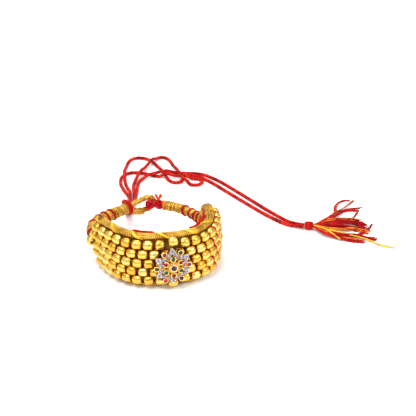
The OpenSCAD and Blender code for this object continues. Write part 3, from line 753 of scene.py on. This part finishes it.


# Plain-weave cotton, matt, with a fine over-and-under grid: brown on the outer side, under the beads,
# and red on the wrist side
def clothMaterial():
    material, tree = newMaterial("cottonClothRedAndBrown")
    uv = addNode(tree, "UVMap", uv_map="UVMap").outputs["UV"]
    values = {"Scale": 0.5 / lining["weave"], "Distortion": 0.6, "Detail": 1.0}
    threads = [addNode(tree, "TexWave", values, {"Vector": uv}, bands_direction=way) for way in "XY"]
    grid = compute(tree, "MAXIMUM", *(way.outputs["Fac"] for way in threads))
    worn = noise(tree, objectPlace(tree), 5, 4.0)
    shade = compute(tree, "MULTIPLY_ADD", grid, 0.35, worn)
    brown = colourRamp(tree, shade, [(0.2, "5c3610"), (0.6, "96601e"), (1.0, "c68e3a")])
    red = colourRamp(tree, shade, [(0.2, "900a0c"), (0.6, "c81a16"), (1.0, "e83c2c")])
    inside = compute(tree, "GREATER_THAN", split(tree, uv)["Y"], 2 * edging["rise"])
    finishMaterial(tree, {"Roughness": 0.85, "Sheen Weight": 0.3, "Sheen Roughness": 0.5},
                   {"Base Color": blendColours(tree, inside, brown, red),
                    "Normal": bumpNormal(tree, grid, 0.7, 0.15)})
    return material


bm = newMesh()
reach = edging["straight"] + edging["end"] - liningInset - lining["endGap"]
spans = lining["rowsUp"]


def liningPoint(i, j):
    s = reach * (2 * i / (lining["columns"] - 1) - 1)
    h = liningHalf(s)
    front = j <= spans
    k = j if front else 2 * spans + 1 - j
    z = ring["rimMid"] + h * (1 - 2 * k / spans)
    across, up, slanting = lining["wrinkleTurns"]
    wrinkle = lining["wrinkle"] * sin(s * across) * sin(z * up + s * slanting)
    return placeAt(s, liningOut(z) + (wrinkle if front else wrinkle - lining["wall"]), z)


rollGrid(bm, lining["columns"], 2 * spans + 2, liningPoint, 2 * reach, girth=4 * edging["rise"])
liningPiece = finishPiece("lining_cloth", bm, clothMaterial(), ["lining"])

# Raw edge of the red cloth that shows behind the rim's top
hem = {
    "stretches": [  # distance along the cuff, height
        [(-20, 0.1), (-18, 0.6), (-9.5, 0.55), (-7.5, 0.1)],
        [(10.5, 0.2), (16, 0.6), (21, 1.6), (26, 2.4), (28, 0.5)],
    ],
    "wall": 0.35, "step": 0.35, "uneven": (0.75, 1.1),
    "rootBelow": 1.1, "tipBelow": 0.1,  # below the line of the rim's top
    "inward": 1.65, "leansIn": 0.3,
}
dice = random.Random(5)
bm = newMesh()
for stretch in hem["stretches"]:
    start, end = stretch[0][0], stretch[-1][0]
    count = int((end - start) / hem["step"])
    tops = [dice.uniform(*hem["uneven"]) * lookUp(start + (end - start) * i / count, stretch)
            for i in range(count + 1)]
    corners = [(0, 0), (0, 1), (1, 1), (1, 0)]

    def hemPoint(i, j):
        side, top = corners[j]
        z = 2 * ring["rimMid"] + (tops[i] - hem["tipBelow"] if top else -hem["rootBelow"])
        inward = hem["inward"] + hem["wall"] * side + hem["leansIn"] * top * tops[i]
        return placeAt(start + (end - start) * i / count, -inward, z)

    rollGrid(bm, count + 1, 4, hemPoint, end - start)
hemPiece = finishPiece("lining_hem", bm, redSilk, smooth=False)
print("lining sewn")

# Bands
bands = {
    "tip": 50.05, "perTurn": 20, "driftAlong": 0.5, "coreSteps": 40, "coreIn": 0.45, "endRoom": 0.3,
    "winding": {"radius": 0.56, "pitch": 1.05, "lift": 0.1, "slant": 0.12, "wobble": 0.2},
    "stripe": {"radius": 0.38, "pitch": 0.46, "lift": 0.5, "slant": 0.3, "wobble": 0.05},
    "stripeHalf": 0.485,
    # a stop is a distance along the cuff from the medallion, half depth, half height
    "left": {"end": 86, "stripes": [53, 62, 68, 72, 76], "stops": [
        (50.05, 2.5, 4.4), (51.65, 2.98, 4.09), (53.65, 3.1, 3.29), (57.7, 3.06, 3.06), (86, 2.8, 2.8)]},
    "right": {"end": 76.2, "stripes": [52, 55.8, 59.8, 64.6], "stops": [
        (50.05, 2.5, 4.4), (51.65, 2.3, 3.17), (53.65, 2.4, 2.54), (57.4, 2.4, 2.4), (76.2, 2.4, 2.4)]},
}


def bandSize(stops, s):
    return [lookUp(abs(s), [(stop[0], stop[k]) for stop in stops]) for k in (1, 2)]


def roundAt(s, angle, depth, height):
    return placeAt(s, 0, ring["middle"]) + spoke(outAt(s), angle, depth, height)


# Winds a thread round the cuff's line from start to end, each turn a little looser or tighter
def windOn(bm, start, end, sizeAt, seed, radius, pitch, slant, wobble, lift=0.0, skew=0.0):
    dice = random.Random(seed)
    turns = abs(end - start) / pitch
    count = max(int(turns * bands["perTurn"]), bands["perTurn"])
    drift = [dice.uniform(-1, 1) for _ in range(int(turns) + 3)]
    path = []
    for i in range(count + 1):
        turn = turns * i / count
        angle = tau * turn
        a, b = drift[int(turn)], drift[int(turn) + 1]
        loose = wobble * (a + (b - a) * (turn % 1))
        s = start + (end - start) * i / count
        depth, height = (size + lift - radius for size in sizeAt(s))
        slide = slant * height * sin(angle) + skew * depth * cos(angle)
        path.append(roundAt(s + slide + bands["driftAlong"] * loose, angle, depth + loose, height + loose))
    addTube(bm, path, radius, 6)


def bandCore(bm, side, stops, end):
    steps, tip = bands["coreSteps"], bands["tip"]

    def corePoint(i, j):
        s = side * (tip + (end - tip) * i / steps)
        depth, height = (size - bands["coreIn"] for size in bandSize(stops, s))
        return roundAt(s, pi * j / 8, depth, height)

    rollGrid(bm, steps + 1, 16, corePoint, end - tip)


for side, name in ((-1, "left"), (1, "right")):
    stops, end = bands[name]["stops"], bands[name]["end"]
    bm = newMesh()
    bandCore(bm, side, stops, end)
    windOn(bm, side * (bands["tip"] + bands["endRoom"]), side * (end - bands["endRoom"]),
           lambda s: bandSize(stops, s), 3 + side, **bands["winding"])
    finishPiece("band_windings_" + name, bm, zari, ["band_" + name])
    bm = newMesh()
    for k, s in enumerate(bands[name]["stripes"]):
        windOn(bm, side * (s - bands["stripeHalf"]), side * (s + bands["stripeHalf"]),
               lambda s: bandSize(stops, s), 20 + k, **bands["stripe"])
    finishPiece("band_stripes_" + name, bm, darkRedSilk, ["stripes_" + name])
print("bands wound")

# Loop, its collar and the binding
closure = {
    "collar": -87.2, "collarHalf": 0.53,
    "collarLayers": [(1, 3.5, 0.08), (2, 3.4, -0.1)],  # seed, radius, slant
    "collarWinding": {"radius": 0.42, "pitch": 0.5, "wobble": 0.1, "skew": -0.35},
    "collarFrays": {"count": 7, "reach": ((-2.2, -0.4), (-0.3, 0.8), (0.6, 1.9)), "bow": (0, 0, 0.5),
                    "radius": 0.2},
    # distance past the collar, outward, height
    "loop": [
        (1.4, 0, 15.7), (2.2, 0, 15.8), (4.4, 0.5, 16.2), (7, 1.4, 16.6), (9.6, 2.2, 17.4),
        (12, 2.6, 17), (13.4, 2.7, 15), (12.4, 2.5, 12.2), (9.8, 2, 11), (6.6, 1.1, 11),
        (4.2, 0.4, 11.6), (2.2, 0, 12.1), (1.4, 0, 12.2)],
    "tail": [(1.4, -0.3, 11.2), (3.6, -0.1, 10.4), (5.6, 0.3, 9.9), (6.6, 0.5, 9.5)],
    "tailRadius": 0.85, "tailSpread": ((-0.3, 0.3), (-0.3, 0.3), (-0.4, 0.4)),
    "tailFrays": {"count": 9, "reach": ((1.2, 2.4), (-0.6, 0.4), (-1.6, -0.4)), "bow": (0.4, 0, 0.3),
                  "radius": 0.17},
    "loopRadius": 1.48, "loopCore": 0.8, "plies": 3, "plyRadius": 0.86, "plyPitch": 9,
    "bindingFrom": 76.4, "bindingTo": 77.9, "bindingEnds": 0.2, "bindingRadius": 2.6,
    "bindingWinding": {"radius": 0.4, "pitch": 0.5, "slant": 0.1, "wobble": 0.06},
}


# The solid core under a short winding
def addDrum(bm, start, step, facing, radius, run):
    rollGrid(bm, 4, 16, lambda i, j: placeAt(start + step * i, 0, ring["middle"])
             + spoke(outAt(facing), pi * j / 8, radius, radius), run)


def randomVector(dice, ranges):
    return Vector([dice.uniform(low, high) for low, high in ranges])


def addFray(bm, dice, root, fray):
    tip = root + randomVector(dice, fray["reach"])
    addTube(bm, smoothPath([root, (root + tip) / 2 + Vector(fray["bow"]), tip], 0.3), fray["radius"], 5)


bm = newMesh()
collar = closure["collar"]
for seed, size, slant in closure["collarLayers"]:
    windOn(bm, collar + closure["collarHalf"], collar - closure["collarHalf"], lambda s: (size, size), seed,
           slant=slant, **closure["collarWinding"])
addDrum(bm, start=collar + 0.75, step=-0.5, facing=collar, radius=3.0, run=2)
fray = closure["collarFrays"]
for k in range(fray["count"]):  # frayed ends that stand up behind the collar
    addFray(bm, random.Random(40 + k), placeAt(collar + 0.9, 1.2, ring["middle"] + 3.2), fray)
finishPiece("collar_windings", bm, darkRedSilk, ["loop_collar"])

bm = newMesh()
loopPath, tailPath = (smoothPath([placeAt(collar - d, out, z) for d, out, z in closure[way]], 0.5)
                      for way in ("loop", "tail"))
loopFrames = pathFrames(loopPath)
addTube(bm, loopPath, closure["loopCore"], 8)
around = closure["loopRadius"] - closure["plyRadius"]
for k in range(closure["plies"]):
    addStrand(bm, loopPath, loopFrames, (around, around), closure["plyRadius"], closure["plyPitch"],
              tau * k / closure["plies"], 8)
addTube(bm, tailPath, closure["tailRadius"], 12, lobes=3, lobeDepth=0.14, lobePitch=6)
fray = closure["tailFrays"]
for k in range(fray["count"]):  # the tail's frayed end
    dice = random.Random(60 + k)
    addFray(bm, dice, tailPath[-2] + randomVector(dice, closure["tailSpread"]), fray)
finishPiece("loop_plies", bm, zari, ["loop"])

bm = newMesh()
size, inset = closure["bindingRadius"], closure["bindingEnds"]
windOn(bm, closure["bindingFrom"] + inset, closure["bindingTo"] - inset, lambda s: (size, size), 5,
       **closure["bindingWinding"])
addDrum(bm, start=76.5, step=0.43, facing=77, radius=2.1, run=1.5)
finishPiece("orange_binding", bm, orangeThread, ["knot_binding"])
print("loop closed")

# Button knot
knot = {
    "height": 14.6,
    "lobes": [(10.9, -0.6, 2.55), (15.9, -0.3, 2.65)],  # distance past the collar, outward, radius
    "cord": 0.6, "inset": 0.5, "points": 180, "coils": 3, "crossings": 5, "swing": 0.95, "bulge": 0.06,
    "squash": (0.95, 0.85, 0.98), "ballSquash": (0.85, 0.85, 0.9),
    "neck": (9.8, 11.6, 13.4, 15.2, 16.9), "neckOut": -0.4, "neckRadius": 1.1,
    # the cut end: distance past the collar, outward, height above the knot's middle, looseness
    "stem": [(15.8, -0.3, 1.6, 0.35), (15.6, -0.2, 3.1, 0.4)],
    "forks": [(16.9, -0.1), (14.4, 0.2)], "tuft": [(4.4, 0.5), (5.3, 0.75)],
    "endThreads": 26, "endRadius": 0.34,
}
bm = newMesh()
for lobe, (distance, out, size) in enumerate(knot["lobes"]):
    centre = placeAt(collar - distance, out, knot["height"])
    run, side = alongAt(collar - distance), outAt(collar - distance)
    inner = size - knot["inset"]
    lengthwise, sideways, upright = knot["squash"]
    weave = []
    for k in range(knot["points"]):
        t = tau * k / knot["points"]
        latitude = knot["swing"] * sin(knot["crossings"] * t + lobe)
        r = inner * (1 + knot["bulge"] * cos(2 * knot["crossings"] * t))
        weave.append(centre + r * (lengthwise * sin(latitude) * run
                                   + cos(latitude) * spoke(side, knot["coils"] * t, sideways, upright)))
    addTube(bm, weave, knot["cord"], 7, True)
    ball = bmesh.ops.create_uvsphere(bm, u_segments=14, v_segments=8, radius=inner * mm)["verts"]
    bmesh.ops.scale(bm, verts=ball, vec=knot["ballSquash"])
    bmesh.ops.translate(bm, verts=ball, vec=centre * mm)
neck = [placeAt(collar - d, knot["neckOut"], knot["height"]) for d in knot["neck"]]
addTube(bm, smoothPath(neck, 0.5), knot["neckRadius"], 10, lobes=3, lobeDepth=0.12, lobePitch=5)
finishPiece("knot_weave", bm, knotThread, ["button_knot"])

bm = newMesh()
for k in range(knot["endThreads"]):  # the cord's cut end rises as a stem and forks into two tufts
    dice = random.Random(80 + k)
    stations = knot["stem"] + [(*knot["forks"][k % 2], *above) for above in knot["tuft"]]
    points = [placeAt(collar - d + dice.uniform(-w, w), out + dice.uniform(-w, w),
                      knot["height"] + z + dice.uniform(-0.3, 0.3)) for d, out, z, w in stations]
    addTube(bm, smoothPath(points, 0.4), knot["endRadius"], 5)
finishPiece("knot_cut_ends", bm, vermilionSilk)
print("knot tied")

# Medallion
face = {
    "centre": placeAt(0, 6.55, ring["middle"]) + Vector((-0.8, 0, -0.45)), "twist": radians(-1.5),
    "petalHalf": radians(30),
    # the white V: its tip and feet, the slope and half width of its two arms, the gold strip beside it
    "bandTip": 8.6, "bandFoot": 4.9, "bandSlope": (2 / 3.945, 3.4 / 3.945), "bandHalf": 0.82, "strip": 0.5,
    "hollowFoot": 5.4, "patchSize": 1.2,
    "domeTop": 2.7, "domeRadius": 22, "relief": (-0.35, 0.45),
}


# The cast setting's gold, with painted shade that makes it darker the deeper it lies and painted highlight
# on its highest parts, with a rhodium-white V round each petal's small stones and painted shade, brown, in
# the hollow inside it
def platedMaterial():
    material, tree = newMaterial("goldAndRhodiumCastSetting")
    place = objectPlace(tree)
    values = {"Location": face["centre"] * mm, "Rotation": (0, face["twist"], 0)}
    flat = addNode(tree, "Mapping", values, {"Vector": place}, vector_type="TEXTURE")
    parts = split(tree, flat.outputs["Vector"])
    x, z = parts["X"], parts["Z"]

    def maths(operation, *values):
        return compute(tree, operation, *values)

    turn = maths("SUBTRACT", maths("ARCTAN2", z, x), face["petalHalf"])
    fold = maths("PINGPONG", turn, face["petalHalf"])
    radius = maths("SQRT", maths("ADD", maths("MULTIPLY", x, x), maths("MULTIPLY", z, z)))
    outward = maths("MULTIPLY", radius, maths("COSINE", fold))
    sideways = maths("MULTIPLY", radius, maths("SINE", fold))
    past = maths("MULTIPLY", maths("SUBTRACT", outward, face["bandTip"] * mm), face["bandSlope"][0])
    offLine = maths("ADD", past, maths("MULTIPLY", sideways, face["bandSlope"][1]))
    near = maths("LESS_THAN", maths("ABSOLUTE", offLine), face["bandHalf"] * mm)
    beyond = maths("GREATER_THAN", outward, face["bandFoot"] * mm)
    apart = maths("MULTIPLY", radius, maths("SINE", maths("SUBTRACT", face["petalHalf"], fold)))
    beside = maths("GREATER_THAN", apart, face["strip"] * mm)
    band = maths("MULTIPLY", maths("MULTIPLY", near, beyond), beside)
    # painted shade: the hollow inside each V is coloured brown
    hollowShade = maths("MULTIPLY", maths("LESS_THAN", offLine, -face["bandHalf"] * mm),
                   maths("GREATER_THAN", outward, face["hollowFoot"] * mm))
    patches = noise(tree, place, face["patchSize"], 3.0)
    # painted shade and painted highlight: the gold darkens the deeper it lies below the dome and turns pale
    # where it stands above it
    drop = maths("MULTIPLY", maths("MULTIPLY", radius, radius), 1 / (2 * face["domeRadius"] * mm))
    raised = maths("SUBTRACT", maths("SUBTRACT", drop, parts["Y"]), face["domeTop"] * mm)
    level = spread(tree, raised, first=face["relief"][0] * mm, last=face["relief"][1] * mm)
    grain = maths("MULTIPLY", maths("SUBTRACT", patches, 0.5), 0.5)
    gold = colourRamp(tree, maths("ADD", level, grain),
                      [(0.05, "4a2806"), (0.38, "a86c18"), (0.55, "d6a03c"), (0.85, "f8dc90")])
    white = colourRamp(tree, patches, [(0.3, "9a8e98"), (0.5, "ccc0b8"), (0.7, "f2e8d2")])
    # brown painted shade in the hollow
    colour = blendColours(tree, hollowShade, gold, srgb("a8641c"))
    colour = blendColours(tree, band, colour, white)
    metal = maths("SUBTRACT", 1.0, maths("MULTIPLY", band, 0.6))
    finishMaterial(tree, {}, {
        "Base Color": colour, "Metallic": metal, "Roughness": spread(tree, patches, 0.2, 0.36),
        "Normal": bumpNormal(tree, patches, 0.7, 0.05)})
    return material


def dress(name, material):
    materials = frame["nodes"][name].data.materials
    materials.clear()
    materials.append(material)


dress("medallion_setting", platedMaterial())
stoneSlots = {row["node"]: row["material_slot"] for row in frame["record"]["subparts"]}
numbered = ["%s_stone_%d" % (kind, k) for kind in ("drop", "round") for k in range(1, 7)]
for name in ["centre_stone", "pave_stones"] + numbered:
    dress(name, stoneKinds[stoneSlots[name]])
print("stones set")

# Tassel
tassel = {
    "start": Vector((83.2, 10.3)), "turn": -24, "threadRadius": 0.3, "gap": 0.15, "ownColour": 0.75,
    "atHead": 0.75, "fan": 2, "flat": 0.6, "loose": 0.35, "pull": 0.3, "short": (-3.5, 1),
    "headDiameter": 4.5, "headLength": 4.4, "headTurns": 9, "headCore": 1.75,
    # each lock's colour, threads, half width, and its way: distance ahead of the head, to the left, height
    "locks": [
        ("red", 5, 0.5, [(0, 0.5, 2.3), (6.6, 8.2, 3), (9.1, 15.8, 2), (10, 19, 1.5), (9.9, 27, 1.2),
            (11.2, 32.3, 0.8), (14, 35.5, 0.6), (16.8, 35.7, 0.5)]),
        ("orange", 4, 0.5, [(0, 0.5, 2.3), (6, 9, 2.4), (9.5, 16, 1.8), (14.3, 25.4, 1), (19, 35.8, 0.5)]),
        ("red", 12, 1.1, [(0, 0.4, 2.3), (9.6, 12.7, 2), (14.7, 22.6, 1), (23, 26.7, 0.6)]),
        ("red", 4, 0.6, [(0, 0.3, 2.3), (8, 8, 2.2), (18, 12.2, 1), (21.6, 22, 0.5)]),
        ("dark", 9, 0.9, [(0, 0.3, 2.3), (8, 8, 2.2), (18, 12.2, 1), (24.5, 11.6, 0.5)]),
        ("dark", 18, 1.4, [(0, 0.2, 2.2), (11.5, 5.7, 2.2), (19.8, 8.1, 1.4), (27.5, 6.5, 0.5)]),
        ("orange", 12, 1.2, [(0, 0, 2.2), (12.8, -2.2, 2), (21, 1.3, 1.2), (29.4, -0.5, 0.5)]),
        ("dark", 12, 1.3, [(0, 0.1, 2.2), (11, 2, 2.4), (19, 2.5, 1.2), (26, 1.5, 0.5)]),
        ("red", 4, 0.5, [(0, -0.2, 2.2), (12, -5.5, 1.8), (22, -6, 1.2), (27.8, 2, 0.6), (30, 9.2, 0.5)]),
        ("dark", 18, 1.3, [(0, -0.2, 2.2), (12.2, -7.4, 1.7), (22, -6, 1.2), (29.7, -7.4, 0.5),
            (32.3, -7.7, 0.5)]),
        ("red", 9, 0.9, [(0, -0.3, 2.3), (6.8, -7.3, 2), (21, -11.1, 0.6), (28, -11, 0.5)]),
        ("orange", 5, 0.6, [(0, -0.3, 2.3), (7, -5.6, 2.2), (14, -8.8, 1.2), (24, -9.6, 0.5)]),
        ("gold", 3, 0.25, [(0, -0.5, 3), (7, -5, 3.2), (14.6, -11, 1.2)]),
        ("gold", 5, 0.4, [(0, -0.4, 2), (12, -4.5, 1.8), (19.9, -6.9, 1.7), (27.9, -8.5, 0.7),
            (31.9, -11.6, 0.5), (35.4, -14, 0.5), (38.4, -14.8, 0.5), (42.1, -15.8, 0.5)])],
    "knots": [(35.4, -14, 0.8), (38.7, -14.9, 0.75)],  # distance ahead, to the left, radius
}
turn = radians(tassel["turn"])
ahead = Vector((cos(turn), sin(turn), 0))
left = Vector((-sin(turn), cos(turn), 0))
tasselRoot = tassel["start"].to_3d() + cords["shift"]
meshes = {colour: newMesh() for colour in ("red", "dark", "orange", "gold")}
dice = random.Random(11)


def tasselPoint(x, y, z):
    return tasselRoot + (tassel["headLength"] + tassel["gap"] + x) * ahead + y * left + z * zAxis


for colour, count, width, way in tassel["locks"]:
    for k in range(count):
        r, a = sqrt(dice.random()), dice.uniform(0, tau)
        run = (Vector(way[-1][:2]) - Vector(way[1][:2])).normalized()
        short = dice.uniform(*tassel["short"]) if count > 5 else 0
        points = []
        for n, (x, y, z) in enumerate(way):
            fanned = n == len(way) - 1 and count > 6
            wide = width * (tassel["atHead"] if n == 0 else tassel["fan"] if fanned else 1)
            sideways = wide * r * cos(a) + dice.uniform(-1, 1) * tassel["loose"] * (n > 0)
            high = z + tassel["flat"] * width * r * sin(a)
            pull = short if n == len(way) - 1 else dice.uniform(-1, 1) * tassel["pull"]
            x += pull * run.x - sideways * run.y
            y += pull * run.y + sideways * run.x
            points.append(tasselPoint(x, y, max(high, tassel["threadRadius"] + 0.05)))
        own = colour == "gold" or dice.random() < tassel["ownColour"]
        shade = colour if own else dice.choice(("red", "dark", "orange"))
        addTube(meshes[shade], smoothPath(points, 0.9), tassel["threadRadius"], 5)
for x, y, radius in tassel["knots"]:  # small hard knots in the yellow thread
    turns = [tau * i / 14 for i in range(14)]
    path = [tasselPoint(x, y, radius)
            + 0.45 * radius * Vector((cos(t), sin(t), 0.5 * sin(2 * t))) for t in turns]
    addTube(meshes["gold"], path, 0.5 * radius, 8, True)
tasselKinds = {"red": redSilk, "dark": darkRedSilk, "orange": orangeThread, "gold": brightZari}
tasselPieces = [finishPiece("tassel_threads_" + colour, bm, tasselKinds[colour],
                            ["tassel"] if colour == "dark" else []) for colour, bm in meshes.items()]

bm = newMesh()
headMiddle = tasselRoot + tassel["headDiameter"] / 2 * zAxis
headSteps = tassel["headTurns"] * 18
headPath = []
for i in range(headSteps + 1):
    u = i / headSteps
    narrower = 0.5 * max(0, 1 - u * 5) + 0.35 * max(0, u * 5 - 4)
    radius = tassel["headDiameter"] / 2 - tassel["threadRadius"] - narrower
    headPath.append(headMiddle + (0.2 + 4.0 * u) * ahead
                    + spoke(left, tau * tassel["headTurns"] * u, radius, radius))
addTube(bm, headPath, tassel["threadRadius"], 6)
addTube(bm, [headMiddle + x * ahead for x in (0.1, 1.2, 3.2, 4.5)], tassel["headCore"], 14)
headPiece = finishPiece("tassel_head_windings", bm, redSilk, ["tassel_head"])
print("tassel fanned out")

for name, far, withPieces in (
        ("tie_cord_1", "fitting", [headPiece] + tasselPieces[:2]),
        ("tie_cord_2", "object", []),
        ("tie_cord_3", "fitting", tasselPieces[2:])):
    piece, path = cordPieces[name]
    pathLength(path) * mm
    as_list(withPieces)

sizes = {"cad": [list(c) for c in cadBox], "visual": [list(c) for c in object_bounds()]}
